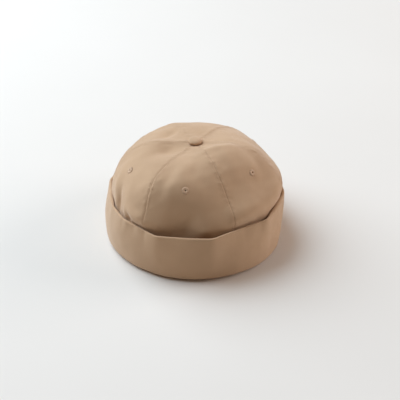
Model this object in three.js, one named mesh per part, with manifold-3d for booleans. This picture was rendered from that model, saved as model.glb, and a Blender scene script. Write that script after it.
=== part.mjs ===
// A docker cap: a soft crown of six sewn panels with an eyelet in each, a covered button on top and a deep
// cuff turned up round it. Millimetres, +Z up. The cap stands on its cuff with the front seam facing -Y,
// and angles are in degrees from that seam towards +X.
import * as THREE from "three";
import { mergeVertices } from "three/addons/utils/BufferGeometryUtils.js";
import Module from "manifold-3d";

const wasm = await Module();
wasm.setup();

// Driving sizes
const GAP = 0.3; // between neighbouring pieces
const CROWN = { halfWidth: 91.5, halfLength: 94, wall: 1.2, panels: 6, ridge: 0.8 };
const CUFF_STANDOFF = 7; // from the crown's half sizes to the cuff's
const CUFF_WALL = 3; // doubled cloth
// The fold that holds the crown's hem: its floor, the lip inside the crown and the rounding of its corners.
const HEM = {
  floor: 2.4,
  lipHeight: 14,
  lipWall: 1.6,
  lipStation: 0.5,
  corner: 1.2,
  fillet: 0.5,
  bulge: 0.1,
};
const EYELET = { hole: 1.2, radius: 3.7, proud: 0.9, soften: 0.5 };
const BUTTON = { radius: 7.6, height: 4.6, rim: 1.2, postRadius: 2.2, postLength: 9 };

// How finely the cloth is divided
const PANEL_CELLS = 10;
const HEM_ROWS = 3;
const FACE_ROWS = 17;
const CUFF_STEPS = 72;
const CUFF_ROWS = 8;
const CUFF_CROWDING = 1.4; // above 1, the cuff's rows crowd towards its foot
const EDGE_STEPS = 5;
const EYELET_SIDES = 12;
const BUTTON_SIDES = 20;
const DOME_ROWS = 5;

// The crown's profile, a row for each station from the hem to the top: its share of the half sizes and
// its height.
const SECTIONS = [
  { share: 0.97, height: 2.8 },
  { share: 0.985, height: 26 },
  { share: 0.97, height: 56 },
  { share: 0.88, height: 80 },
  { share: 0.71, height: 99 },
  { share: 0.46, height: 110.5 },
  { share: 0.19, height: 111 },
  { share: 0.035, height: 110 },
];
const FACE_STATION = 1.5; // the crown shows above this station

// How far the slack cloth lies outside that profile, a row for every 30 degrees from the front seam:
// at the side, on the haunch and by the crest. Its sway is how many degrees it hangs round to the right.
const SLACK = [
  { side: 1, haunch: -3, crest: 4, sway: 2.5 },
  { side: 3, haunch: -2, crest: 6, sway: 1 },
  { side: 2, haunch: 3.5, crest: 2, sway: 0 },
  { side: 1, haunch: 1.5, crest: 0, sway: 0 },
  { side: 0, haunch: 1, crest: -3, sway: 0 },
  { side: 0, haunch: 0, crest: -3, sway: 0 },
  { side: 1, haunch: 1, crest: -4, sway: 0 },
  { side: 2, haunch: 0, crest: -5, sway: 0 },
  { side: 2, haunch: 1, crest: -2, sway: 0 },
  { side: 3, haunch: 4, crest: -1, sway: 0 },
  { side: 4, haunch: 6, crest: -2, sway: 1.5 },
  { side: -3, haunch: 3, crest: 1, sway: 2 },
];
const SLACK_STATIONS = [0, 1, 2, 3.4, 5, 6.2, 7];
const SWAY_SHARES = [1, 1, 1, 0.7, -0.6, -0.5, 0]; // of the sway at these stations
const NEAR_HEM = 0.35; // share of the side's slack at the second of these stations
const NEAR_TOP = 0.25; // share of the crest's slack at the last but one
const FLATTENING = [0, 0.4, 0.7, 1, 0.8, 0.3, 0]; // share of the seams' ridge at these stations
const SEAM_SOFTNESS = 0.03; // above zero, so that the ridge at a seam is round

// Dents, below zero, and ridges: where each is centred, its half length, its half width, its lean to the
// right of straight up the crown and its depth.
const FOLDS = [
  { angle: -90, station: 5.35, length: 17, width: 10.5, lean: 8, depth: -5.5 },
  { angle: -155, station: 5.1, length: 8, width: 15, lean: 10, depth: -3 },
  { angle: -95, station: 2.6, length: 20, width: 7, lean: -23, depth: 2 },
  { angle: -87, station: 2.4, length: 17, width: 6, lean: -23, depth: -3 },
  { angle: -78, station: 2.6, length: 18, width: 8, lean: -12, depth: 1 },
  { angle: -73, station: 2.1, length: 8, width: 6, lean: -10, depth: -2 },
  { angle: -66, station: 2.2, length: 8, width: 22, lean: 0, depth: 3 },
  { angle: -50, station: 3.8, length: 18, width: 8, lean: 3, depth: -2 },
  { angle: -38, station: 4.4, length: 33, width: 12, lean: -30, depth: 3 },
  { angle: -57, station: 4, length: 33, width: 12, lean: -66, depth: 3 },
  { angle: 19, station: 4.85, length: 13, width: 27, lean: 12, depth: -2 },
  { angle: 30, station: 5.5, length: 26, width: 8, lean: 120, depth: 1 },
  { angle: 50, station: 3.9, length: 26, width: 9, lean: 22, depth: -1.5 },
  { angle: 70, station: 2.4, length: 15, width: 28, lean: 0, depth: 5 },
  { angle: 12, station: 2.1, length: 8, width: 20, lean: 0, depth: 3 },
  { angle: -28, station: 2.8, length: 17, width: 20, lean: -27, depth: -2 },
];
const FOLD_REACH = 45; // how far along the surface's normal a fold still acts

// Where each panel's eyelet is worked.
const EYELET_PLACES = [
  { angle: 36, station: 3.8 },
  { angle: 94, station: 3.5 },
  { angle: 150, station: 3.45 },
  { angle: 208, station: 3.45 },
  { angle: 269, station: 3.6 },
  { angle: 327, station: 3.75 },
];

// The cuff, a row for every 30 degrees: its height, how far its edge flares and its belly swells out, and
// how far its foot tucks in.
const CUFF = [
  { height: 57, flare: 1, belly: 0, tuck: 4 },
  { height: 57, flare: 0, belly: 0, tuck: 0 },
  { height: 54, flare: -1, belly: -1, tuck: 8 },
  { height: 48, flare: 0, belly: 0, tuck: 7 },
  { height: 49, flare: 1, belly: 2, tuck: 4 },
  { height: 51, flare: 2, belly: 2, tuck: 4 },
  { height: 52, flare: 1, belly: 2, tuck: 4 },
  { height: 50, flare: -1, belly: 2, tuck: 4 },
  { height: 49, flare: -1.5, belly: 2, tuck: 2 },
  { height: 52, flare: -2, belly: 2, tuck: 0 },
  { height: 54, flare: 1, belly: 2, tuck: 3 },
  { height: 56, flare: 3, belly: 1, tuck: 4 },
];
const TUCK_POWER = 5; // how low down the tuck stays

const CLOTH_LOOK = { color: 0xb4947a, roughness: 0.95, metalness: 0 };
const STITCH_LOOK = { color: 0xa88a70, roughness: 0.85, metalness: 0 };

const column = (table, name) => table.map((row) => row[name]);
const steps = (first, last, count) =>
  Array.from({ length: count + 1 }, (_, i) => first + ((last - first) * i) / count);

// A smooth curve through values given at rising places.
function through(places, values, at) {
  const end = places.length - 1;
  const slope = (i) => {
    const [before, after] = [Math.max(i - 1, 0), Math.min(i + 1, end)];
    return (values[after] - values[before]) / (places[after] - places[before]);
  };
  let i = 0;
  while (i < end - 1 && at > places[i + 1]) i++;
  const span = places[i + 1] - places[i];
  const s = (at - places[i]) / span;
  const blend = s * s * (3 - 2 * s);
  const bend = s * (1 - s) ** 2 * slope(i) - s * s * (1 - s) * slope(i + 1);
  return values[i] * (1 - blend) + values[i + 1] * blend + span * bend;
}

// The same right round the cap, through values spaced evenly from the front seam.
function around(values, angle) {
  const count = values.length;
  const turn = THREE.MathUtils.euclideanModulo((angle * count) / 360, count);
  const first = Math.floor(turn);
  const near = [-1, 0, 1, 2].map((k) => values[(first + k + count) % count]);
  return through([-1, 0, 1, 2], near, turn - first);
}

// A point of the oval with these half sizes, at an angle and a height.
function onOval(halfWidth, halfLength, angle, height) {
  const t = THREE.MathUtils.degToRad(angle);
  return new THREE.Vector3(halfWidth * Math.sin(t), -halfLength * Math.cos(t), height);
}

// The outward normal of a surface given by angle and station.
function normalOf(surface, angle, station) {
  const [turn, climb] = [1, 0.05];
  const east = surface(angle + turn, station).sub(surface(angle - turn, station));
  const up = surface(angle, station + climb).sub(surface(angle, station - climb));
  return east.cross(up).normalize();
}

const STATIONS = SECTIONS.map((_, i) => i);

// The crown's plain profile, before slack and folds.
function plainCrown(angle, station) {
  const share = through(STATIONS, column(SECTIONS, "share"), station);
  const height = through(STATIONS, column(SECTIONS, "height"), station);
  const sway = around(column(SLACK, "sway"), angle) * through(SLACK_STATIONS, SWAY_SHARES, station);
  return onOval(CROWN.halfWidth * share, CROWN.halfLength * share, angle + sway, height);
}

function slackAt(angle, station) {
  const slack = (name) => around(column(SLACK, name), angle);
  const [side, haunch, crest] = ["side", "haunch", "crest"].map(slack);
  return through(SLACK_STATIONS, [0, NEAR_HEM * side, side, haunch, crest, NEAR_TOP * crest, 0], station);
}

// Panels lie flatter than the profile between their seams, most of all on the haunch.
function flatteningAt(angle, station) {
  const between = Math.sin((THREE.MathUtils.degToRad(angle) * CROWN.panels) / 2);
  const rise = Math.sqrt(between ** 2 + SEAM_SOFTNESS) - Math.sqrt(SEAM_SOFTNESS);
  return -CROWN.ridge * rise * through(SLACK_STATIONS, FLATTENING, station);
}

// Each fold has its own frame on the plain crown: along it, across it and out of the cloth.
const folds = FOLDS.map((fold) => {
  const centre = plainCrown(fold.angle, fold.station);
  const out = normalOf(plainCrown, fold.angle, fold.station);
  const east = new THREE.Vector3(0, 0, 1).cross(out).normalize();
  const across = east.applyAxisAngle(out, -THREE.MathUtils.degToRad(fold.lean));
  const along = out.clone().cross(across);
  return { ...fold, centre, out, across, along };
});

function foldsAt(point) {
  return folds.reduce((sum, fold) => {
    const from = point.clone().sub(fold.centre);
    const far =
      (from.dot(fold.along) / fold.length) ** 2 +
      (from.dot(fold.across) / fold.width) ** 2 +
      (from.dot(fold.out) / FOLD_REACH) ** 2;
    return sum + fold.depth * Math.exp(-far);
  }, 0);
}

// The crown's outer face.
function crown(angle, station) {
  const point = plainCrown(angle, station);
  const push = slackAt(angle, station) + flatteningAt(angle, station) + foldsAt(point);
  return point.addScaledVector(normalOf(plainCrown, angle, station), push);
}

function crownInside(angle, station) {
  return crown(angle, station).addScaledVector(normalOf(crown, angle, station), -CROWN.wall);
}

// A closed solid through rings of points. Without round, its two ends are closed by strips between the
// first half of the ring and the second.
function loft(rings, round) {
  const count = rings[0].length;
  const at = (ring, i) => (ring % rings.length) * count + (i % count);
  const index = [];
  for (let ring = 0; ring < rings.length - (round ? 0 : 1); ring++) {
    for (let i = 0; i < count; i++) {
      index.push(at(ring, i), at(ring, i + 1), at(ring + 1, i + 1));
      index.push(at(ring, i), at(ring + 1, i + 1), at(ring + 1, i));
    }
  }
  if (!round) {
    const last = rings.length - 1;
    for (let i = 0; i < count / 2 - 1; i++) {
      const [near, next] = [count - 1 - i, count - 2 - i];
      index.push(at(0, i), at(0, near), at(0, next), at(0, i), at(0, next), at(0, i + 1));
      index.push(at(last, i), at(last, next), at(last, near), at(last, i), at(last, i + 1), at(last, next));
    }
  }
  const geometry = new THREE.BufferGeometry().setFromPoints(rings.flat());
  geometry.setIndex(index);
  return geometry;
}

function solidOf(geometry) {
  const bare = geometry.clone().deleteAttribute("normal").deleteAttribute("uv");
  const merged = mergeVertices(bare, 1e-4);
  const vertProperties = new Float32Array(merged.attributes.position.array);
  const triVerts = new Uint32Array(merged.index.array);
  return new wasm.Manifold(new wasm.Mesh({ numProp: 3, vertProperties, triVerts }));
}

function geometryOf(solid) {
  const { vertProperties, triVerts } = solid.getMesh();
  const geometry = new THREE.BufferGeometry();
  geometry.setAttribute("position", new THREE.BufferAttribute(vertProperties, 3));
  return geometry.setIndex(new THREE.BufferAttribute(triVerts, 1));
}

const PANEL_ANGLE = 360 / CROWN.panels;
const EYELET_SEAT = EYELET.radius + GAP;

// The turn from the lathe's own axis to the cloth's normal at an eyelet.
function eyeletTurn({ angle, station }) {
  const out = normalOf(crown, angle, station);
  return new THREE.Quaternion().setFromUnitVectors(new THREE.Vector3(0, 1, 0), out);
}

// A gore of the crown: a wall between two seams, from the hem to the top, with its eyelet's hole.
function panel(first, place) {
  const top = SECTIONS.length - 1;
  const stations = [...steps(0, FACE_STATION, HEM_ROWS), ...steps(FACE_STATION, top, FACE_ROWS).slice(1)];
  const rings = stations.map((station) => {
    const { x, y } = plainCrown(first + PANEL_ANGLE / 2, station);
    const inset = THREE.MathUtils.radToDeg(GAP / 2 / Math.hypot(x, y));
    const angles = steps(first + inset, first + PANEL_ANGLE - inset, PANEL_CELLS);
    const outer = angles.map((angle) => crown(angle, station));
    const inner = angles.map((angle) => crownInside(angle, station)).reverse();
    return [...outer, ...inner];
  });
  const drill = new THREE.CylinderGeometry(EYELET_SEAT, EYELET_SEAT, 8 * CROWN.wall, EYELET_SIDES);
  drill.applyQuaternion(eyeletTurn(place));
  drill.translate(...crown(place.angle, place.station));
  return geometryOf(solidOf(loft(rings, false)).subtract(solidOf(drill)));
}

// An eyelet ring, worked round its hole and a little proud of both faces of the cloth.
function eyelet() {
  const { hole, radius, proud, soften } = EYELET;
  const under = -CROWN.wall - soften;
  const profile = [
    [hole, under],
    [radius - soften, under],
    [radius, under + soften],
    [radius, proud - soften],
    [radius - soften, proud],
    [hole + soften, proud],
    [hole, proud - soften],
    [hole, under],
  ].map(([x, y]) => new THREE.Vector2(x, y));
  return new THREE.LatheGeometry(profile, EYELET_SIDES);
}

// The covered button: a low dome with a plain post through the opening where the panels meet.
function button() {
  const { radius, height, rim, postRadius, postLength } = BUTTON;
  const dome = steps(0, 90, DOME_ROWS)
    .slice(0, -1)
    .map((turn) => THREE.MathUtils.degToRad(turn))
    .map((turn) => [radius * Math.cos(turn), rim + (height - rim) * Math.sin(turn)]);
  const profile = [
    [0, -postLength],
    [postRadius, -postLength],
    [postRadius, 0],
    [radius - rim, 0],
    ...dome,
    [0, height],
  ].map(([x, y]) => new THREE.Vector2(x, y));
  return new THREE.LatheGeometry(profile, BUTTON_SIDES).rotateX(Math.PI / 2);
}

// The button lies on the highest cloth under it.
function buttonSeat() {
  const top = SECTIONS.length - 1;
  const heights = steps(0, 360, 36).flatMap((angle) =>
    steps(top - 1, top, 10)
      .map((station) => crown(angle, station))
      .filter(({ x, y }) => Math.hypot(x, y) < BUTTON.radius)
      .map(({ z }) => z),
  );
  return Math.max(...heights) + GAP;
}

// The cuff's section at an angle: down the outer wall, across the foot, over the inner lip, through the
// channel that holds the crown's hem and up to the round edge. Offsets are from the cuff's oval.
function cuffSection(angle) {
  const size = (name) => around(column(CUFF, name), angle);
  const [height, flare, belly, tuck] = ["height", "flare", "belly", "tuck"].map(size);
  const wall = (w) => 4 * belly * w * (1 - w) + flare * w - tuck * (1 - w) ** TUCK_POWER;
  const hem = steps(0, HEM.lipStation, 2).map((station) => crownInside(angle, station));
  const rim = onOval(CROWN.halfWidth + CUFF_STANDOFF, CROWN.halfLength + CUFF_STANDOFF, angle, 0);
  const lip = -Math.max(...hem.map(({ x, y }) => Math.hypot(rim.x - x, rim.y - y))) - GAP;
  const radius = CUFF_WALL / 2;
  const shares = steps(1, 0, CUFF_ROWS).map((s) => s ** CUFF_CROWDING);
  const outer = shares.map((w) => [wall(w), w * height]);
  const inner = shares
    .filter((w) => w * height > HEM.floor)
    .map((w) => [wall(w) - CUFF_WALL, w * height])
    .reverse();
  const edge = steps(180, 0, EDGE_STEPS)
    .slice(1, -1)
    .map((turn) => THREE.MathUtils.degToRad(turn))
    .map((turn) => [flare - radius + radius * Math.cos(turn), height + radius * Math.sin(turn)]);
  outer.splice(-1, 1, [wall(0) + HEM.bulge, HEM.corner], [wall(0) - HEM.corner, 0]);
  const foot = [
    [lip - HEM.lipWall + HEM.corner, 0],
    [lip - HEM.lipWall, HEM.corner],
    [lip - HEM.lipWall, HEM.lipHeight - HEM.corner / 2],
    [lip - HEM.lipWall / 2, HEM.lipHeight],
    [lip, HEM.lipHeight - HEM.corner / 2],
    [lip, HEM.floor],
    [wall(0) - CUFF_WALL + HEM.fillet, HEM.floor],
  ];
  return [...outer, ...foot, ...inner, ...edge].map(([offset, z]) => {
    const halfWidth = CROWN.halfWidth + CUFF_STANDOFF + offset;
    return onOval(halfWidth, CROWN.halfLength + CUFF_STANDOFF + offset, angle, z);
  });
}

function cuff() {
  const angles = steps(0, 360, CUFF_STEPS).slice(0, -1);
  return loft(angles.map(cuffSection), true);
}

function piece(name, geometry, look) {
  const mesh = new THREE.Mesh(geometry, new THREE.MeshStandardMaterial(look));
  mesh.name = name;
  return mesh;
}

const cap = new THREE.Group();
EYELET_PLACES.forEach((place, i) => {
  cap.add(piece(`crown_panel_${i + 1}`, panel(i * PANEL_ANGLE, place), CLOTH_LOOK));
  const ring = piece(`eyelet_${i + 1}`, eyelet(), STITCH_LOOK);
  ring.position.copy(crown(place.angle, place.station));
  ring.quaternion.copy(eyeletTurn(place));
  cap.add(ring);
});
const topButton = piece("top_button", button(), CLOTH_LOOK);
topButton.position.z = buttonSeat();
cap.add(topButton);
cap.add(piece("cuff", cuff(), CLOTH_LOOK));

export default cap;
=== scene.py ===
"""The looks of a washed cotton docker cap: sewn panels, worked eyelets, a covered button and its cuff."""
import math

import bpy
import numpy as np
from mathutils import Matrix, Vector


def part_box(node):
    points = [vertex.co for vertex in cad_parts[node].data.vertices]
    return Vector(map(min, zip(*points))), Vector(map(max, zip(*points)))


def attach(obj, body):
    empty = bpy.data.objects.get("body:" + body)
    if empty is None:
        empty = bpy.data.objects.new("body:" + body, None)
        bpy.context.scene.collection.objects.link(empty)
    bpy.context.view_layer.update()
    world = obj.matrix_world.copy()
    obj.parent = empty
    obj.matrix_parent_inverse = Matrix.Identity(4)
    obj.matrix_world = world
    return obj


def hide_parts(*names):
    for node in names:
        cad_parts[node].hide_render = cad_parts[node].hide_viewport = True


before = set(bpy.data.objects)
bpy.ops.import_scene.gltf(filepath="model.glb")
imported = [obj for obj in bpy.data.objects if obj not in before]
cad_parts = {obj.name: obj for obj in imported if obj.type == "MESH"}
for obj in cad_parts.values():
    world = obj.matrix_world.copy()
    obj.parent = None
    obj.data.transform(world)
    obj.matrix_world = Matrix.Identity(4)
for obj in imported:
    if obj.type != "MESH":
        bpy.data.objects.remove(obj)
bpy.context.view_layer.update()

MM = 0.001  # sizes below are millimetres, and meshes are in metres

# The crown's profile and slack, and the oval that the cuff follows, have the part's own sizes. Angles are in
# degrees from the front seam, which faces -Y, towards +X, and stations count the sections from the hem up.
HALF_WIDTH, HALF_LENGTH = 91.5, 94.0
PANELS = 6
PANEL_ANGLE = 360 / PANELS
CROWN_WALL = 1.2
SEAM_RIDGE = 0.8
CUFF_STANDOFF = 7.0
CUFF_HALF_WIDTH = HALF_WIDTH + CUFF_STANDOFF
CUFF_HALF_LENGTH = HALF_LENGTH + CUFF_STANDOFF
CUFF_WALL = 3.0
TUCK_POWER = 5  # how low down the tuck of the cuff's foot stays


def columns(names, *rows):
    """A table's columns by name."""
    return dict(zip(names.split(), np.array(rows, float).T))


# The crown's profile, a row for each station: its share of the half sizes and its height.
SECTIONS = columns(
    "share height",
    (0.97, 2.8),
    (0.985, 26),
    (0.97, 56),
    (0.88, 80),
    (0.71, 99),
    (0.46, 110.5),
    (0.19, 111),
    (0.035, 110),
)
TOP = len(SECTIONS["share"]) - 1

# How far the slack cloth lies outside that profile, a row for every 30 degrees, and how far it hangs round.
SLACK = columns(
    "side haunch crest sway",
    (1, -3, 4, 2.5),
    (3, -2, 6, 1),
    (2, 3.5, 2, 0),
    (1, 1.5, 0, 0),
    (0, 1, -3, 0),
    (0, 0, -3, 0),
    (1, 1, -4, 0),
    (2, 0, -5, 0),
    (2, 1, -2, 0),
    (3, 4, -1, 0),
    (4, 6, -2, 1.5),
    (-3, 3, 1, 2),
)
SLACK_STATIONS = (0, 1, 2, 3.4, 5, 6.2, 7)
SWAY_SHARES = (1, 1, 1, 0.7, -0.6, -0.5, 0)  # of the sway at these stations
NEAR_HEM = 0.35  # share of the side's slack at the second of these stations
NEAR_TOP = 0.25  # share of the crest's slack at the last but one
FLATTENING = (0, 0.4, 0.7, 1, 0.8, 0.3, 0)  # share of the seams' ridge at these stations
SEAM_SOFTNESS = 0.03  # above zero, so that the ridge at a seam is round

# Dents, below zero, and ridges: where each is centred, its half length, its half width, its lean to the right
# of straight up the crown and its depth. Some are the part's own. The others are finer forms of the part's,
# or are only here.
FOLDS = columns(
    "angle station length width lean depth",
    (-90, 5.35, 17, 10.5, 8, -5.5),
    (-155, 5.1, 8, 15, 10, -3.2),
    (-95, 2.6, 20, 6, -23, 1.6),
    (-87, 2.2, 12, 3.5, -10, -3.2),
    (-78, 2.6, 18, 8, -12, 0.6),
    (-77, 2.1, 8, 2.5, -10, 0.8),
    (-73, 2, 6, 4, -10, -2.6),
    (-66, 2.25, 6, 20, 0, 3.5),
    (-50, 3.8, 18, 7, 3, -2),
    (-38, 4.4, 33, 12, -30, 3),
    (-57, 4, 33, 12, -66, 3),
    (-36, 4.6, 24, 6, 22, 0.8),
    (19, 4.85, 13, 27, 12, -2),
    (30, 5.5, 26, 5, 120, 1.5),
    (50, 3.9, 26, 8, 22, -1.6),
    (70, 2.4, 15, 28, 0, 4.5),
    (66, 2.15, 8, 14, 0, 1.5),
    (12, 2.55, 11, 26, 0, 5),
    (46, 2.5, 10, 20, 0, 3),
    (-32, 2.8, 18, 13, -15, -2.4),
    (-20, 2.1, 12, 16, 0, 4),
    (-46, 3.7, 14, 16, 0, 1.5),
    (-42, 2.8, 22, 8, 0, -0.9),
    (-63, 3.2, 26, 20, 0, 1.8),
    (16, 4, 14, 24, 10, -1.2),
    (8, 1.95, 8, 24, 0, -2.5),
    (-34, 2.2, 11, 18, 0, -2),
    (20, 3.15, 14, 24, 0, 1.5),
)
FOLD_REACH = 45  # how far along the surface's normal a fold still acts

# The cuff, a row for every 30 degrees: how far its edge flares, its belly swells out and its foot tucks in.
CUFF = columns(
    "flare belly tuck",
    (1, 0, 2.5),
    (0, 0, 0),
    (-1, -1, 8),
    (0, 0, 7),
    (1, 2, 4),
    (2, 2, 4),
    (1, 2, 4),
    (-1, 2, 4),
    (-1.5, 2, 1),
    (-2, 2, -1),
    (1, 2, 1),
    (3, 1, 2),
)

# The cuff's edge runs straight from corner to corner: where each corner is, how high its edge stands, how
# much of the straight run to the next corner the outer face follows and how far the crown bulges over that
# run. The rest of a run only thickens the rolled edge.
CORNERS = columns(
    "angle height face over",
    (-92, 53, 1, 0.8),
    (-75, 54, 1, 0.6),
    (-49, 54.2, 1, 2.2),
    (-14, 57, 1, 3.5),
    (26, 56.5, 0.5, 2.5),
    (62, 51.5, 0.5, 2),
    (94, 48, 0.5, 1),
    (130, 51.5, 0.6, 1),
    (165, 53.5, 0.6, 1),
    (200, 52.5, 0.6, 1),
    (234, 50, 0.6, 1),
)
CORNER_SOFTNESS = 1.5  # degrees
RUN_POWER = 1.5  # above 1, the straight runs fade sooner on the way down

# The cuff's rounded foot, with the least flat that it leaves beside the lip. The lip stands inside the
# crown's hem, and the cuff's inner face starts clear of the floor between them.
FOOT = {"width": 10.0, "height": 6.0, "flat": 1.0}
LIP = {"gap": 0.4, "wall": 1.6, "height": 14.0, "floor": 2.4, "clear": 1.5, "round": 0.8}
HEM_STATIONS = (0, 0.25, 0.5)  # the lip keeps its gap to the crown at all of these

# The crown keeps this gap inside the cuff, bulges within this share of the cuff's height above its edge, and
# is free by so much for each whole height further up.
PRESS = {"gap": 1.5, "rise": 0.05, "free": 36.0, "softness": 0.4}

# Small tucks in the cuff's face below its edge: the place of each, its half width, its reach down and its
# depth.
TUCKS = columns(
    "angle width reach depth",
    (-76, 2.6, 9, -0.7),
    (-72, 1.8, 6, 0.4),
    (-66, 3.0, 8, -0.6),
    (-62, 1.6, 5, 0.4),
    (-57, 2.4, 11, -0.7),
    (-47, 2.8, 6, 0.4),
    (9, 4.0, 12, -0.5),
    (16, 3.2, 9, 0.35),
    (21, 3.0, 10, -0.45),
    (112, 3.0, 13, -0.6),
    (158, 2.6, 10, 0.5),
    (171, 3.0, 12, -0.5),
    (214, 2.6, 12, -0.6),
    (246, 3.0, 11, -0.5),
)

# Ripples in the cloth: the height, length and seed of each field, and how far its waves' lengths spread.
CROWN_RIPPLES = ((0.18, 34.0, 11), (0.1, 13.0, 12))
CUFF_RIPPLES = ((0.35, 46.0, 21), (0.07, 15.0, 22))
RIPPLE_SPREAD = (0.7, 1.4)
# The cuff's ripples and tucks fade out below a height, and its inner face has a share of the ripples near the
# edge.
CUFF_FADE = 8.0
INNER_SHARE = 0.6
INNER_REACH = 20.0

# Seams and what is sewn along them
SEAM_GAP = 0.05
GROOVES = (0.4, 0.15, 0.4, 0.15, 0.4, 0.4)  # depth along each seam
GROOVE_WIDTH = 0.5
BAND = {"height": 0.2, "width": 3.4}
PUCKER = {"height": 0.12, "length": 7.0, "seed": 31, "width": 6.0}
STITCH = {"offset": 2.0, "length": 2.4, "pitch": 3.0, "radius": 0.17, "flat": 0.8, "sink": 0.25}
STITCH_TROUGH = {"depth": 0.12, "width": 0.8}
# A stitch stands proud by a share of its radius, and these powers round its crest and its ends.
STITCH_ARCH = {"stand": 0.9, "crest": 0.6, "dive": 0.5}
STITCH_ROW = {"first": 1.0, "jitter": 0.15, "seed": 77, "samples": 600, "points": 6}
STITCH_START, STITCH_END = 1.2, 6.35
TUBE_SIDES = 6
TUBE_TAPER = 0.45

EYELET = {"hole": 0.75, "radius": 3.6, "proud": 0.6, "cut": 2.3, "cut_depth": 6.0, "sides": 32}
EYELET_THREADS = {"count": 42, "radius": 0.3, "jitter": 0.12, "seed": 60}
EYELET_DIP = {"depth": 0.25, "width": 4.2, "rim": 0.12, "rim_radius": 5.6, "rim_width": 1.6}
# A thread's way out from the hole over the cloth: its share of the ring's breadth and of its proud height.
EYELET_PATH = columns(
    "share lift",
    (0, -1.4),
    (0.03, -0.4),
    (0.12, 0.45),
    (0.35, 1),
    (0.65, 0.95),
    (0.9, 0.5),
    (1, 0.05),
    (0.97, -0.35),
)
# The section of the padding ring under the threads
EYELET_BED = columns(
    "radius height",
    (0.75, -1.7),
    (3.1, -1.7),
    (3.5, -1.3),
    (3.4, 0.1),
    (2.6, 0.55),
    (1.7, 0.5),
    (0.75, -0.1),
)
EYELET_PLACES = columns(
    "angle station",
    (36, 3.8),
    (94, 3.5),
    (150, 3.45),
    (208, 3.45),
    (269, 3.6),
    (327, 3.75),
)

BUTTON = {"radius": 7.6, "height": 4.6, "rim": 1.6, "flat": 3.76, "clear": 0.05, "fullness": 0.8}
BUTTON_POST = {"radius": 2.2, "length": 9.0, "top": -0.1}
BUTTON_PLEATS = {"count": 9, "depth": 0.12, "reach": 1.3, "drift": 0.6}

# How finely the pieces are divided
PANEL_COLUMNS, PANEL_ROWS = 64, 132
PANEL_CROWDING = 1.15  # above 1, a panel's columns crowd towards its seams
CUFF_COLUMNS, CUFF_ROWS = 432, 52
CUFF_CROWDING = 1.3  # above 1, the cuff's rows crowd towards its foot
EDGE_STEPS, FOOT_STEPS, LIP_FOOT_STEPS, LIP_TOP_STEPS, FLOOR_STEPS = 11, 6, 4, 6, 3
BUTTON_SIDES, DOME_STEPS, RIM_STEPS = 72, 16, 5
SHARP_ANGLE = 55.0  # edges that turn more than this stay sharp


def through(places, values, at):
    """A smooth curve through values given at rising places."""
    values = np.array([np.broadcast_to(value, at.shape) for value in values], float)
    places = np.array(places, float)
    slopes = np.empty_like(values)
    steps = np.diff(places).reshape((-1,) + (1,) * at.ndim)
    slopes[1:-1] = (values[2:] - values[:-2]) / (steps[1:] + steps[:-1])
    slopes[0] = (values[1] - values[0]) / steps[0]
    slopes[-1] = (values[-1] - values[-2]) / steps[-1]
    first = np.searchsorted(places[1:-1], at)
    span = places[first + 1] - places[first]
    share = (at - places[first]) / span
    blend = share * share * (3 - 2 * share)

    def pick(table, index):
        return np.take_along_axis(table, index[None], 0)[0]

    bend = share * (1 - share) ** 2 * pick(slopes, first) - share**2 * (1 - share) * pick(slopes, first + 1)
    return pick(values, first) * (1 - blend) + pick(values, first + 1) * blend + span * bend


def around(values, angle):
    """The same right round the cap, through values spaced evenly from the front seam."""
    count = len(values)
    turn = np.mod(angle * count / 360, count)
    first = np.floor(turn).astype(int)
    share = turn - first
    before, low, high, after = (values[(first + k) % count] for k in (-1, 0, 1, 2))
    blend = share * share * (3 - 2 * share)
    bend = share * (1 - share) ** 2 * (high - before) / 2 - share**2 * (1 - share) * (after - low) / 2
    return low * (1 - blend) + high * blend + bend


def bell(distance, width):
    """A smooth bump of that half width, 1 at its middle."""
    return np.exp(-((distance / width) ** 2))


def unit(vectors):
    """Vectors of length 1 in the same directions."""
    return vectors / np.linalg.norm(vectors, axis=-1, keepdims=True)


def basis(out):
    """Two directions in the cloth for a normal to it: level, and up the cloth."""
    east = unit(np.cross((0, 0, 1), out))
    return east, np.cross(out, east)


def from_axis(points):
    """Distance of points from the cap's axis."""
    return np.hypot(points[..., 0], points[..., 1])


def on_oval(half_width, half_length, angle, height):
    """Points of an oval with these half sizes."""
    turn = np.radians(angle)
    return np.stack(np.broadcast_arrays(half_width * np.sin(turn), -half_length * np.cos(turn), height), -1)


def normal_of(surface, angle, station, turn=1.0, climb=0.05):
    """The outward normal of a surface, from points a little to each side of a place on it."""
    east = surface(angle + turn, station) - surface(angle - turn, station)
    up = surface(angle, station + climb) - surface(angle, station - climb)
    return unit(np.cross(east, up))


def plain_crown(angle, station):
    """The crown's profile before slack and folds."""
    angle, station = np.broadcast_arrays(np.asarray(angle, float), np.asarray(station, float))
    share = through(range(TOP + 1), SECTIONS["share"], station)
    height = through(range(TOP + 1), SECTIONS["height"], station)
    sway = around(SLACK["sway"], angle) * through(SLACK_STATIONS, SWAY_SHARES, station)
    return on_oval(HALF_WIDTH * share, HALF_LENGTH * share, angle + sway, height)


def slack(angle, station):
    """How far the slack cloth lies outside the profile."""
    side, haunch, crest = (around(SLACK[name], angle) for name in ("side", "haunch", "crest"))
    return through(SLACK_STATIONS, [0, NEAR_HEM * side, side, haunch, crest, NEAR_TOP * crest, 0], station)


def flattening(angle, station):
    """Panels lie flatter than the profile between their seams."""
    between = np.sin(np.radians(angle) * PANELS / 2)
    rise = np.sqrt(between**2 + SEAM_SOFTNESS) - math.sqrt(SEAM_SOFTNESS)
    return -SEAM_RIDGE * rise * through(SLACK_STATIONS, FLATTENING, station)


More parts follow.
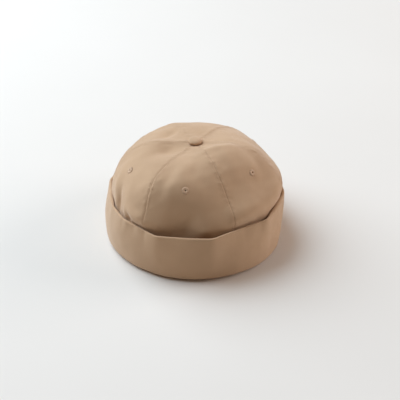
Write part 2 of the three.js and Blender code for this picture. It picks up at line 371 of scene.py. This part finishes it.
def fold_frames():
    """Each fold's centre on the plain crown, and its directions along, across and out of the cloth."""
    centre = plain_crown(FOLDS["angle"], FOLDS["station"])
    out = normal_of(plain_crown, FOLDS["angle"], FOLDS["station"])
    east, north = basis(out)
    lean = np.radians(FOLDS["lean"])[:, None]
    across = east * np.cos(lean) - north * np.sin(lean)
    return centre, np.cross(out, across), across, out


FOLD_FRAMES = fold_frames()


def folds(points):
    """How far the dents and ridges push points of the plain crown out."""
    total = np.zeros(points.shape[:-1])
    for row, centre in enumerate(FOLD_FRAMES[0]):
        away = points - centre
        sizes = (FOLDS["length"][row], FOLDS["width"][row], FOLD_REACH)
        far = sum((away @ axes[row] / size) ** 2 for axes, size in zip(FOLD_FRAMES[1:], sizes))
        total += FOLDS["depth"][row] * np.exp(-far)
    return total


def crown(angle, station):
    """The crown's outer face, with its slack and folds."""
    angle, station = np.broadcast_arrays(np.asarray(angle, float), np.asarray(station, float))
    points = plain_crown(angle, station)
    push = slack(angle, station) + flattening(angle, station) + folds(points)
    return points + push[..., None] * normal_of(plain_crown, angle, station)


def ripples(points, length, seed, waves=14):
    """A seeded random field of about unit strength whose waves are about that long."""
    rng = np.random.default_rng(seed)
    directions = unit(rng.normal(size=(waves, 3)))
    lengths = length * rng.uniform(*RIPPLE_SPREAD, waves)
    phases = rng.uniform(0, 2 * math.pi, waves)
    turns = points @ (2 * math.pi * directions / lengths[:, None]).T + phases
    return np.sin(turns).sum(-1) * math.sqrt(2 / waves)


def rippled(points, rows):
    """Several such fields together, each with its height, length and seed."""
    return sum(height * ripples(points, length, seed) for height, length, seed in rows)


def seam_distance(angle, points):
    """Signed distance along the cloth from the nearest seam."""
    off = np.mod(angle + PANEL_ANGLE / 2, PANEL_ANGLE) - PANEL_ANGLE / 2
    return np.radians(off) * from_axis(points)


def seam_relief(angle, points):
    """The raised seam allowance, its groove, the troughs under the stitching and the puckers it draws up."""
    away = seam_distance(angle, points)
    seam = np.mod(np.rint(angle / PANEL_ANGLE).astype(int), PANELS)
    band = BAND["height"] * np.exp(-((away / BAND["width"]) ** 4))
    groove = -np.array(GROOVES)[seam] * bell(away, GROOVE_WIDTH)
    trough = -STITCH_TROUGH["depth"] * bell(abs(away) - STITCH["offset"], STITCH_TROUGH["width"])
    drawn = PUCKER["height"] * ripples(points, PUCKER["length"], PUCKER["seed"])
    return band + groove + trough + drawn * bell(away, PUCKER["width"])


def eyelet_relief(points):
    """The cloth dips under each eyelet and swells a little round it."""
    total = np.zeros(points.shape[:-1])
    for centre in crown(EYELET_PLACES["angle"], EYELET_PLACES["station"]):
        away = np.linalg.norm(points - centre, axis=-1)
        swell = EYELET_DIP["rim"] * bell(away - EYELET_DIP["rim_radius"], EYELET_DIP["rim_width"])
        total += swell - EYELET_DIP["depth"] * bell(away, EYELET_DIP["width"])
    return total


def cloth(angle, station):
    """The crown's outer face with all its fine relief, kept clear of the cuff."""
    points = crown(angle, station)
    relief = seam_relief(angle, points) + eyelet_relief(points)
    relief += rippled(points, CROWN_RIPPLES)
    return press(points + relief[..., None] * normal_of(crown, angle, station))


def straight_runs(angle):
    """How far inside the oval each straight run of the cuff's edge lies, and the run's other values."""
    corner = np.append(CORNERS["angle"], CORNERS["angle"][0] + 360)
    height = np.append(CORNERS["height"], CORNERS["height"][0])
    turn = np.mod(angle - corner[0], 360) + corner[0]
    run = np.clip(np.searchsorted(corner, turn, side="right") - 1, 0, len(corner) - 2)
    half = (corner[run + 1] - corner[run]) / 2
    middle = corner[run] + half
    share = (turn - corner[run]) / (2 * half)
    chord = np.cos(np.radians(half)) / np.cos(np.radians(turn - middle)) - 1
    level = height[run] * (1 - share) + height[run + 1] * share
    return CUFF_HALF_WIDTH * chord, CORNERS["face"][run], CORNERS["over"][run], level


def softened(values):
    """Evenly spaced values right round the cap, smoothed as the corners of the cuff's edge are."""
    count = len(values)
    waves = np.fft.rfftfreq(count, 360 / count)
    kept = np.exp(-2 * (math.pi * CORNER_SOFTNESS * waves) ** 2)
    return np.fft.irfft(np.fft.rfft(values) * kept, count)


def cuff_wall():
    """Round the cuff: angles, shares of height, outer and inner offsets, heights and the crown's bulge."""
    angle = np.arange(CUFF_COLUMNS) * 360 / CUFF_COLUMNS
    pull, face, over, height = straight_runs(angle)
    share = np.linspace(1, 0, CUFF_ROWS + 1)[:, None] ** CUFF_CROWDING
    flare, belly, tuck = (around(CUFF[name], angle) for name in ("flare", "belly", "tuck"))
    wall = 4 * belly * share * (1 - share) + flare * share - tuck * (1 - share) ** TUCK_POWER
    outer = wall + softened(pull * face) * share**RUN_POWER
    inner = wall + softened(pull) * share**RUN_POWER - CUFF_WALL
    return angle, share, outer, inner, softened(height), softened(over)


CUFF_ANGLE, CUFF_SHARE, CUFF_OUTER, CUFF_INNER, CUFF_HEIGHT, CUFF_OVER = cuff_wall()


def cuff_oval(angle):
    """Distance of the cuff's oval from the axis."""
    turn = np.radians(angle)
    return np.hypot(CUFF_HALF_WIDTH * np.sin(turn), CUFF_HALF_LENGTH * np.cos(turn))


def press(points):
    """Moves points of the crown in where they would meet the cuff's inner face."""
    across = from_axis(points)
    turn = np.arctan2(points[..., 0] / CUFF_HALF_WIDTH, -points[..., 1] / CUFF_HALF_LENGTH)
    angle = np.degrees(turn)
    column = np.mod(angle * CUFF_COLUMNS / 360, CUFF_COLUMNS)
    low = np.floor(column).astype(int) % CUFF_COLUMNS
    part = column - np.floor(column)

    def beside(values):
        return values[low] * (1 - part) + values[(low + 1) % CUFF_COLUMNS] * part

    level = points[..., 2] / beside(CUFF_HEIGHT)
    row = np.interp(np.clip(level, 0, 1), CUFF_SHARE[::-1, 0], np.arange(CUFF_ROWS + 1)[::-1])
    top = np.clip(np.floor(row).astype(int), 0, CUFF_ROWS - 1)
    down = row - top
    inner = sum(
        CUFF_INNER[top + i, (low + j) % CUFF_COLUMNS] * (down if i else 1 - down) * (part if j else 1 - part)
        for i in (0, 1)
        for j in (0, 1)
    )
    above = level - 1
    bulge = (beside(CUFF_OVER) + PRESS["gap"]) * np.clip(above / PRESS["rise"], 0, 1) - PRESS["gap"]
    limit = cuff_oval(angle) + inner + bulge + PRESS["free"] * np.maximum(above - PRESS["rise"], 0)
    inward = np.logaddexp(0, (across - limit) / PRESS["softness"]) * PRESS["softness"]
    scale = 1 - inward / np.maximum(across, 1)
    return points * np.stack([scale, scale, np.ones_like(scale)], -1)


def even_turns(count):
    """That many even steps round a full turn, in radians."""
    return np.arange(count) * 2 * math.pi / count


def sweep(first, last, steps):
    """A column of even steps from one angle in degrees to another, in radians."""
    return np.radians(np.linspace(first, last, steps + 1))[:, None]


def spokes(out, turn):
    """Directions in the cloth at these turns about a normal to it."""
    east, north = basis(out)
    return np.cos(turn)[:, None] * east + np.sin(turn)[:, None] * north


def grid_faces(rows, cols, first=0, flip=False, closed=False):
    """Quads over a grid of points, stored row by row."""
    index = first + np.arange(rows * cols).reshape(rows, cols)
    if closed:
        index = np.concatenate([index, index[:, :1]], 1)
    quads = np.stack([index[:-1, :-1], index[:-1, 1:], index[1:, 1:], index[1:, :-1]], -1).reshape(-1, 4)
    return quads[:, ::-1] if flip else quads


def ring_faces(rows, cols, first=0):
    """Quads over a grid of points that closes on itself both ways."""
    index = first + np.arange(rows * cols).reshape(rows, cols)
    below = np.roll(index, -1, 0)
    return np.stack([index, below, np.roll(below, -1, 1), np.roll(index, -1, 1)], -1).reshape(-1, 4)


def mesh_object(name, points, faces, uv=None):
    """A smooth mesh object in metres, with a texture map in metres if one is given for its points."""
    mesh = bpy.data.meshes.new(name)
    mesh.from_pydata((points * MM).tolist(), [], faces)
    if uv is not None:
        layer = mesh.uv_layers.new(name="cloth")
        corners = np.empty(len(mesh.loops), int)
        mesh.loops.foreach_get("vertex_index", corners)
        layer.data.foreach_set("uv", (uv[corners] * MM).ravel())
    mesh.polygons.foreach_set("use_smooth", np.ones(len(mesh.polygons), bool))
    mesh.set_sharp_from_angle(angle=math.radians(SHARP_ANGLE))
    mesh.validate()
    made = bpy.data.objects.new(name, mesh)
    bpy.context.scene.collection.objects.link(made)
    return made


def dress(piece, material, slot, *nodes):
    """Gives a piece its material and body, and hides the nodes that it stands for. The slot is not used."""
    piece.data.materials.append(material)
    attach(piece, "root")
    if nodes:
        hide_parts(*nodes)


def arc_lengths(points, axis):
    """Distance along a grid of points from its first row or column."""
    step = np.linalg.norm(np.diff(points, axis=axis), axis=-1)
    return np.concatenate([np.zeros_like(np.take(step, [0], axis)), np.cumsum(step, axis)], axis)


def cut_hole(piece, cutter):
    """Takes the cutter out of a piece and deletes it."""
    hole = piece.modifiers.new("hole", "BOOLEAN")
    hole.object = cutter
    hole.solver = "EXACT"
    whole = piece.data
    piece.data = bpy.data.meshes.new_from_object(piece.evaluated_get(bpy.context.evaluated_depsgraph_get()))
    piece.data.name = whole.name
    piece.modifiers.clear()
    bpy.data.meshes.remove(whole)
    bpy.data.objects.remove(cutter)


def round_cutter(centre, out, radius, depth, sides=24):
    """A closed cylinder through the cloth."""
    ring = centre + radius * spokes(out, even_turns(sides))
    points = np.concatenate([ring - depth * out, ring + depth * out])
    walls = grid_faces(2, sides, closed=True).tolist()
    ends = [list(range(sides))[::-1], list(range(sides, 2 * sides))]
    return mesh_object("cutter", points, walls + ends)


def eyelet_seat(index):
    """The centre of a panel's eyelet on the cloth and the normal there."""
    at, station = (EYELET_PLACES[name][index : index + 1] for name in ("angle", "station"))
    return cloth(at, station)[0], normal_of(crown, at, station)[0]


def shell_faces(rows, cols):
    """Faces of a wall between two equal grids of points, the outer one first, with its rim."""
    count = rows * cols
    rim = np.concatenate([
        np.arange(cols),
        np.arange(1, rows) * cols + cols - 1,
        (rows - 1) * cols + np.arange(cols - 2, -1, -1),
        np.arange(rows - 2, 0, -1) * cols,
    ])
    after = np.roll(rim, -1)
    sides = np.stack([after, rim, rim + count, after + count], -1)
    return np.concatenate([grid_faces(rows, cols), grid_faces(rows, cols, count, flip=True), sides]).tolist()


def panel(index, material):
    """One gore of the crown: a wall of cloth from the hem to the button, with its eyelet's hole."""
    middle = index * PANEL_ANGLE + PANEL_ANGLE / 2
    stations = np.linspace(0, TOP, PANEL_ROWS + 1)
    width = from_axis(plain_crown(middle, stations))
    inset = np.degrees(SEAM_GAP / width)[:, None]
    share = np.linspace(-1, 1, PANEL_COLUMNS + 1)
    share = np.sign(share) * (1 - (1 - abs(share)) ** PANEL_CROWDING)
    angles = middle + share * (PANEL_ANGLE / 2 - inset)
    grid = np.broadcast_to(stations[:, None], angles.shape)
    outer = cloth(angles, grid)
    inner = outer - CROWN_WALL * normal_of(crown, angles, grid)
    across = np.radians(angles - middle) * width[:, None]
    middle_column = arc_lengths(outer, 0)[:, PANEL_COLUMNS // 2]
    along = np.broadcast_to(middle_column[:, None], angles.shape)
    uv = np.tile(np.stack([across, along], -1).reshape(-1, 2), (2, 1))
    points = np.concatenate([outer.reshape(-1, 3), inner.reshape(-1, 3)])
    piece = mesh_object(f"crown_panel_{index + 1}_cloth", points, shell_faces(*angles.shape), uv)
    cut_hole(piece, round_cutter(*eyelet_seat(index), EYELET["cut"], EYELET["cut_depth"]))
    dress(piece, material, "twill", f"crown_panel_{index + 1}")


def tubes(paths, beside, above, radius, flat=1.0):
    """Closed tubes along paths, tapered at both ends: points and faces of all of them together."""
    count, length = paths.shape[:2]
    taper = np.ones(length)
    taper[[0, -1]] = TUBE_TAPER
    turn = even_turns(TUBE_SIDES)[:, None, None, None]
    ring = np.cos(turn) * beside + flat * np.sin(turn) * above
    points = paths + radius * taper[:, None] * ring
    points = np.moveaxis(points, 0, 2).reshape(-1, 3)
    faces, ends = [], []
    for tube in range(count):
        start = tube * length * TUBE_SIDES
        last = start + (length - 1) * TUBE_SIDES
        faces += grid_faces(length, TUBE_SIDES, start, closed=True).tolist()
        ends.append(list(range(start, start + TUBE_SIDES))[::-1])
        ends.append(list(range(last, last + TUBE_SIDES)))
    return points, faces + ends


def eyelet(index, material):
    """An eyelet worked in satin stitch: threads laid side by side from its hole out over the cloth."""
    centre, out = eyelet_seat(index)
    rng = np.random.default_rng(EYELET_THREADS["seed"] + index)
    count, jitter = EYELET_THREADS["count"], EYELET_THREADS["jitter"]
    turn = (np.arange(count) + rng.uniform(-jitter, jitter, count)) * 2 * math.pi / count
    reach = EYELET["radius"] + rng.uniform(-jitter, jitter, count)
    radial = spokes(out, turn)
    distance = EYELET["hole"] + EYELET_PATH["share"] * (reach[:, None] - EYELET["hole"])
    lift = EYELET_PATH["lift"] * EYELET["proud"]
    paths = centre + distance[..., None] * radial[:, None] + lift[:, None] * out
    side = np.broadcast_to(np.cross(out, radial)[:, None], paths.shape)
    heading = unit(np.gradient(paths, axis=1))
    points, faces = tubes(paths, side, np.cross(heading, side), EYELET_THREADS["radius"])
    spin = spokes(out, even_turns(EYELET["sides"]))
    ring = centre + EYELET_BED["radius"][:, None] * spin[:, None] + EYELET_BED["height"][:, None] * out
    faces += ring_faces(*ring.shape[:2], len(points)).tolist()
    points = np.concatenate([points, ring.reshape(-1, 3)])
    piece = mesh_object(f"eyelet_{index + 1}_thread", points, faces)
    dress(piece, material, "thread", f"eyelet_{index + 1}")


def stitch_row(seam, offset, rng):
    """The stitches of one row along a seam: their paths, and the directions beside and out of each."""
    station = np.linspace(STITCH_START, STITCH_END, STITCH_ROW["samples"])
    angle = seam + np.degrees(offset / from_axis(plain_crown(seam, station)))
    line = cloth(angle, station)
    out = normal_of(crown, angle, station)
    length = arc_lengths(line, 0)
    starts = np.arange(STITCH_ROW["first"], length[-1] - STITCH["length"], STITCH["pitch"])
    starts = starts + rng.uniform(-STITCH_ROW["jitter"], STITCH_ROW["jitter"], len(starts))
    share = np.linspace(0, 1, STITCH_ROW["points"])
    at = starts[:, None] + share * STITCH["length"]

    def spread(values):
        return np.stack([np.interp(at, length, values[:, k]) for k in range(3)], -1)

    up = unit(spread(out))
    arch = np.sin(math.pi * share)
    lift = STITCH["radius"] * STITCH_ARCH["stand"] * arch ** STITCH_ARCH["crest"]
    lift = lift - STITCH["sink"] * (1 - arch ** STITCH_ARCH["dive"])
    paths = spread(line) + lift[:, None] * up
    heading = unit(np.gradient(paths, axis=1))
    side = unit(np.cross(heading, up))
    return paths, side, np.cross(side, heading)


def topstitching(material):
    """Two rows of stitches along every seam, as one piece."""
    rng = np.random.default_rng(STITCH_ROW["seed"])
    rows = []
    for seam in range(PANELS):
        for side in (-1, 1):
            rows.append(stitch_row(seam * PANEL_ANGLE, side * STITCH["offset"], rng))
    paths, sides, ups = (np.concatenate(parts) for parts in zip(*rows))
    points, faces = tubes(paths, sides, ups, STITCH["radius"], STITCH["flat"])
    dress(mesh_object("topstitching", points, faces), material, "thread")


def button_profile():
    """The button's section from the foot of its post to its dome: radius, and height above its seat."""
    radius, height, rim = BUTTON["radius"], BUTTON["height"], BUTTON["rim"]
    under = sweep(-90, 0, RIM_STEPS)[:-1]
    dome = sweep(0, 90, DOME_STEPS)[:-1]
    post = [(BUTTON_POST["radius"], -BUTTON_POST["length"]), (BUTTON_POST["radius"], BUTTON_POST["top"])]
    flat = [(BUTTON["flat"], BUTTON["clear"])]
    edge = np.hstack([radius - rim + rim * np.cos(under), rim + rim * np.sin(under)])
    top = np.hstack([radius * np.cos(dome) ** BUTTON["fullness"], rim + (height - rim) * np.sin(dome)])
    return np.concatenate([post, flat, edge, top])


def button(material):
    """The covered button: a low dome of cloth drawn over its rim in shallow pleats, on a plain post."""
    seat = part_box("top_button")[1][2] / MM - BUTTON["height"]
    profile = button_profile()
    turn = even_turns(BUTTON_SIDES)
    drawn = bell(profile[:, 1] - BUTTON["rim"], BUTTON_PLEATS["reach"])
    drawn = drawn * (profile[:, 0] > BUTTON["radius"] / 2)
    wave = np.sin(BUTTON_PLEATS["count"] * turn + BUTTON_PLEATS["drift"] * np.sin(2 * turn))
    distance = profile[:, :1] * (1 + BUTTON_PLEATS["depth"] / BUTTON["radius"] * drawn[:, None] * wave)
    level = np.broadcast_to(profile[:, 1:] + seat, distance.shape)
    rings = np.stack([distance * np.cos(turn), distance * np.sin(turn), level], -1)
    points = np.concatenate([rings.reshape(-1, 3), [(0, 0, seat + BUTTON["height"])]])
    rows, cols = distance.shape
    last = (rows - 1) * cols + np.arange(cols)
    cap_faces = np.stack([last, np.roll(last, -1), np.full(cols, rows * cols)], -1).tolist()
    faces = grid_faces(rows, cols, closed=True).tolist() + cap_faces + [list(range(cols))[::-1]]
    piece = mesh_object("top_button_cloth", points, faces, points[:, :2])
    dress(piece, material, "twill", "top_button")


def tucks(angle, drop):
    """Small tucks and drag lines below the cuff's edge."""
    total = np.zeros(np.broadcast(angle, drop).shape)
    for row in range(len(TUCKS["angle"])):
        off = np.mod(angle - TUCKS["angle"][row] + 180, 360) - 180
        across = np.radians(off) * CUFF_HALF_WIDTH
        total += TUCKS["depth"][row] * bell(across, TUCKS["width"][row]) * bell(drop, TUCKS["reach"][row])
    return total


def cuff_faces():
    """The cuff's outer and inner faces with their ripples and tucks: offsets from its oval, and heights."""
    half = (CUFF_OUTER[0] - CUFF_INNER[0]) / 2
    level = CUFF_SHARE * (CUFF_HEIGHT - half)
    drop = level[0] - level
    fade = np.clip(level / CUFF_FADE, 0, 1)
    waves = rippled(on_oval(CUFF_HALF_WIDTH, CUFF_HALF_LENGTH, CUFF_ANGLE, level), CUFF_RIPPLES)
    outer = CUFF_OUTER + fade * (waves + tucks(CUFF_ANGLE, drop))
    inner = CUFF_INNER + fade * INNER_SHARE * waves * (drop < INNER_REACH)
    return outer, inner, level


def hem_offset():
    """How far the crown's inner face at its hem lies from the cuff's oval, at the innermost."""
    angles, stations = np.broadcast_arrays(CUFF_ANGLE, np.array(HEM_STATIONS, float)[:, None])
    inside = cloth(angles, stations) - CROWN_WALL * normal_of(crown, angles, stations)
    return (from_axis(inside) - cuff_oval(CUFF_ANGLE)).min(0)


def cuff_section():
    """The cuff's section at every angle, in order from its edge down and back: offsets, and heights."""
    outer, inner, level = cuff_faces()
    hem = hem_offset() - LIP["gap"]
    lip_in = hem - LIP["wall"]
    lip_half = LIP["wall"] / 2
    small = LIP["round"]
    above_foot = level[:, 0] > FOOT["height"]
    above_floor = level[:, 0] > LIP["floor"] + LIP["clear"]
    foot_in = np.maximum(outer[-1] - FOOT["width"], lip_in + FOOT["flat"])
    foot_reach = outer[above_foot][-1] - foot_in
    middle = (outer[0] + inner[0]) / 2
    half = (outer[0] - inner[0]) / 2
    foot = sweep(0, 90, FOOT_STEPS)
    lip_foot = sweep(90, 180, LIP_FOOT_STEPS)
    lip_top = sweep(180, 0, LIP_TOP_STEPS)
    edge = sweep(180, 0, EDGE_STEPS)[1:-1]
    floor_share = np.linspace(0, 1, FLOOR_STEPS + 1)[:, None]
    parts = [
        (outer[above_foot], level[above_foot]),
        (foot_in + foot_reach * np.cos(foot), FOOT["height"] * (1 - np.sin(foot))),
        (lip_in + small + small * np.cos(lip_foot), small - small * np.sin(lip_foot)),
        (hem - lip_half + lip_half * np.cos(lip_top), LIP["height"] - small + lip_half * np.sin(lip_top)),
        (hem + (inner[-1] - hem) * floor_share, LIP["floor"]),
        (inner[above_floor][::-1], level[above_floor][::-1]),
        (middle + half * np.cos(edge), level[0] + half * np.sin(edge)),
    ]
    offsets, heights = zip(*(np.broadcast_arrays(*part) for part in parts))
    return np.concatenate(offsets), np.concatenate(heights)


def cuff(material):
    """The turned-up cuff: doubled cloth that folds under the crown's hem and stands up round it."""
    offset, height = cuff_section()
    points = on_oval(CUFF_HALF_WIDTH + offset, CUFF_HALF_LENGTH + offset, CUFF_ANGLE, height)
    along = arc_lengths(points, 0)
    across = np.broadcast_to(np.radians(CUFF_ANGLE) * CUFF_HALF_WIDTH, along.shape)
    uv = np.stack([across, along], -1).reshape(-1, 2)
    piece = mesh_object("cuff_cloth", points.reshape(-1, 3), ring_faces(*offset.shape).tolist(), uv)
    dress(piece, material, "cuff_twill", "cuff")


def set_sockets(shader, values):
    """Sets a node's sockets by name, with an underscore for each space."""
    for name, value in values.items():
        shader.inputs[name.replace("_", " ")].default_value = value


def node(tree, kind, **sockets):
    """A shader node with values set on its sockets."""
    made = tree.nodes.new(kind)
    set_sockets(made, sockets)
    return made


def start_material(name, **sockets):
    """A new material, with values set on the sockets of the shader that it ends in."""
    material = bpy.data.materials.new(name)
    material.use_nodes = True
    tree = material.node_tree
    shader = tree.nodes["Principled BSDF"]
    set_sockets(shader, sockets)
    return material, tree, shader


def ramp(tree, factor, *stops):
    """A colour ramp on a factor."""
    made = tree.nodes.new("ShaderNodeValToRGB")
    for element, (place, colour) in zip(made.color_ramp.elements, stops):
        element.position = place
        element.color = (*colour, 1)
    tree.links.new(factor, made.inputs["Fac"])
    return made.outputs["Color"]


def multiplied(tree, first, second):
    """The product of two colours."""
    made = tree.nodes.new("ShaderNodeMix")
    made.data_type = "RGBA"
    made.blend_type = "MULTIPLY"
    sockets = {socket.identifier: socket for socket in (*made.inputs, *made.outputs)}
    sockets["Factor_Float"].default_value = 1.0
    tree.links.new(first, sockets["A_Color"])
    tree.links.new(second, sockets["B_Color"])
    return sockets["Result_Color"]


TWILL_PITCH = 0.62  # between the diagonal ribs of the weave
WAVE_PERIOD = 2 * math.pi / 20  # of a wave texture at scale 1
CROWN_RIBS, CUFF_RIBS = 38, -52  # degrees that the ribs lean


def twill(name, lean):
    """Washed cotton twill: diagonal ribs, soft mottling and a matt, slightly fuzzy face."""
    material, tree, shader = start_material(
        name,
        Roughness=0.92,
        Sheen_Weight=0.4,
        Sheen_Roughness=0.45,
        Sheen_Tint=(1.0, 0.88, 0.76, 1),
        Specular_IOR_Level=0.18,
    )
    link = tree.links.new
    place = node(tree, "ShaderNodeTexCoord")
    rotation = (0, 0, math.radians(lean))
    weave_map = node(tree, "ShaderNodeMapping", Scale=(1 / MM, 1 / MM, 1), Rotation=rotation)
    link(place.outputs["UV"], weave_map.inputs["Vector"])
    rib_scale = WAVE_PERIOD / TWILL_PITCH
    ribs = node(tree, "ShaderNodeTexWave", Scale=rib_scale, Distortion=1.2, Detail=2.0, Detail_Scale=0.8)
    link(weave_map.outputs["Vector"], ribs.inputs["Vector"])
    threads = node(tree, "ShaderNodeTexNoise", Scale=2.6, Detail=3.0, Roughness=0.6)
    link(weave_map.outputs["Vector"], threads.inputs["Vector"])
    wash = node(tree, "ShaderNodeTexNoise", Scale=22.0, Detail=4.0, Roughness=0.55)
    link(place.outputs["Object"], wash.inputs["Vector"])
    mottled = ramp(tree, wash.outputs["Fac"], (0.3, (0.535, 0.345, 0.212)), (0.7, (0.595, 0.39, 0.243)))
    grain = ramp(tree, threads.outputs["Fac"], (0.3, (0.9, 0.9, 0.9)), (0.7, (1.06, 1.06, 1.06)))
    ribbed = ramp(tree, ribs.outputs["Fac"], (0.1, (0.9, 0.89, 0.88)), (0.9, (1.04, 1.04, 1.04)))
    link(multiplied(tree, multiplied(tree, mottled, grain), ribbed), shader.inputs["Base Color"])
    fuzz = node(tree, "ShaderNodeBump", Strength=0.35, Distance=0.06 * MM)
    link(threads.outputs["Fac"], fuzz.inputs["Height"])
    weave = node(tree, "ShaderNodeBump", Strength=0.5, Distance=0.1 * MM)
    link(ribs.outputs["Fac"], weave.inputs["Height"])
    link(fuzz.outputs["Normal"], weave.inputs["Normal"])
    link(weave.outputs["Normal"], shader.inputs["Normal"])
    rough = node(tree, "ShaderNodeMapRange", To_Min=0.86, To_Max=0.97)
    link(wash.outputs["Fac"], rough.inputs["Value"])
    link(rough.outputs["Result"], shader.inputs["Roughness"])
    return material


def thread(name):
    """Tan sewing thread: twisted strands with a little lustre."""
    material, tree, shader = start_material(
        name,
        Roughness=0.7,
        Sheen_Weight=0.12,
        Sheen_Roughness=0.4,
        Specular_IOR_Level=0.3,
    )
    link = tree.links.new
    place = node(tree, "ShaderNodeTexCoord")
    strands = node(tree, "ShaderNodeTexNoise", Scale=2600.0, Detail=2.0, Roughness=0.5)
    link(place.outputs["Object"], strands.inputs["Vector"])
    shade = ramp(tree, strands.outputs["Fac"], (0.3, (0.53, 0.355, 0.23)), (0.7, (0.63, 0.43, 0.285)))
    link(shade, shader.inputs["Base Color"])
    twist = node(tree, "ShaderNodeBump", Strength=0.4, Distance=0.05 * MM)
    link(strands.outputs["Fac"], twist.inputs["Height"])
    link(twist.outputs["Normal"], shader.inputs["Normal"])
    return material


# The studio's sizes are in metres, and everything in it looks at the middle of the cap.
MIDDLE = (0, 0, 0.05)
FLOOR_SIDE = 4.0


def floor():
    """A plain pale studio floor."""
    corners = [(x * FLOOR_SIDE, y * FLOOR_SIDE, 0) for x, y in ((-1, -1), (1, -1), (1, 1), (-1, 1))]
    mesh = bpy.data.meshes.new("floor")
    mesh.from_pydata(corners, [], [(0, 1, 2, 3)])
    made = bpy.data.objects.new("floor", mesh)
    bpy.context.scene.collection.objects.link(made)
    material, tree, shader = start_material("studio_floor", Roughness=0.75, Specular_IOR_Level=0.15)
    place = node(tree, "ShaderNodeTexCoord")
    cloudy = node(tree, "ShaderNodeTexNoise", Scale=3.0, Detail=3.0)
    tree.links.new(place.outputs["Object"], cloudy.inputs["Vector"])
    pale = ramp(tree, cloudy.outputs["Fac"], (0.3, (0.775, 0.72, 0.665)), (0.7, (0.795, 0.74, 0.685)))
    tree.links.new(pale, shader.inputs["Base Color"])
    mesh.materials.append(material)


def aim(made):
    """Turns a light or camera, which looks along its own -Z, towards the middle of the cap."""
    away = np.array(made.location) - np.array(MIDDLE)
    across, flat = math.hypot(away[0], away[1]), math.atan2(away[1], away[0])
    made.rotation_euler = (math.atan2(across, away[2]), 0, flat + math.pi / 2)


def area_light(name, place, size, power, colour):
    """A round soft light."""
    data = bpy.data.lights.new(name, "AREA")
    data.shape = "DISK"
    data.size = size
    data.energy = power
    data.color = colour
    made = bpy.data.objects.new(name, data)
    made.location = place
    bpy.context.scene.collection.objects.link(made)
    aim(made)


def studio():
    """A large cool key light from behind on the left, a soft card on the right and a warm surround."""
    area_light("key", place=(-0.94, 1.3, 1.78), size=2.8, power=82.0, colour=(0.94, 1.1, 1.24))
    area_light("right_card", place=(1.98, -0.49, 0.82), size=1.6, power=24.0, colour=(1.05, 1.0, 1.0))
    world = bpy.data.worlds.new("surround")
    bpy.context.scene.world = world
    world.use_nodes = True
    set_sockets(world.node_tree.nodes["Background"], {"Color": (1.0, 0.79, 0.61, 1), "Strength": 0.165})
    bpy.context.scene.view_settings.view_transform = "Standard"


# The photograph's view: a 400 by 400 pixel frame
VIEW = {"azimuth": -24.0, "elevation": 33.9, "distance": 1.150}
FRAME_PIXELS = 400
FOCAL_PIXELS = 1047.6
MIDDLE_PIXEL = (195.1, 189.7)
SENSOR = 36.0


def camera():
    """A camera at the photograph's angle, with the middle of the cap at its pixel."""
    data = bpy.data.cameras.new("camera")
    data.sensor_width = SENSOR
    data.lens = SENSOR * FOCAL_PIXELS / FRAME_PIXELS
    data.shift_x = 0.5 - MIDDLE_PIXEL[0] / FRAME_PIXELS
    data.shift_y = MIDDLE_PIXEL[1] / FRAME_PIXELS - 0.5
    made = bpy.data.objects.new("camera", data)
    azimuth, elevation = math.radians(VIEW["azimuth"]), math.radians(VIEW["elevation"])
    level = math.cos(elevation)
    back = (math.sin(azimuth) * level, -math.cos(azimuth) * level, math.sin(elevation))
    made.location = [m + VIEW["distance"] * b for m, b in zip(MIDDLE, back)]
    bpy.context.scene.collection.objects.link(made)
    aim(made)
    bpy.context.scene.camera = made


camera()
studio()
floor()
crown_twill = twill("washed_twill", CROWN_RIBS)
cuff_twill = twill("cuff_twill", CUFF_RIBS)
sewing_thread = thread("sewing_thread")
for number in range(PANELS):
    panel(number, crown_twill)
    eyelet(number, sewing_thread)
topstitching(sewing_thread)
button(crown_twill)
cuff(cuff_twill)
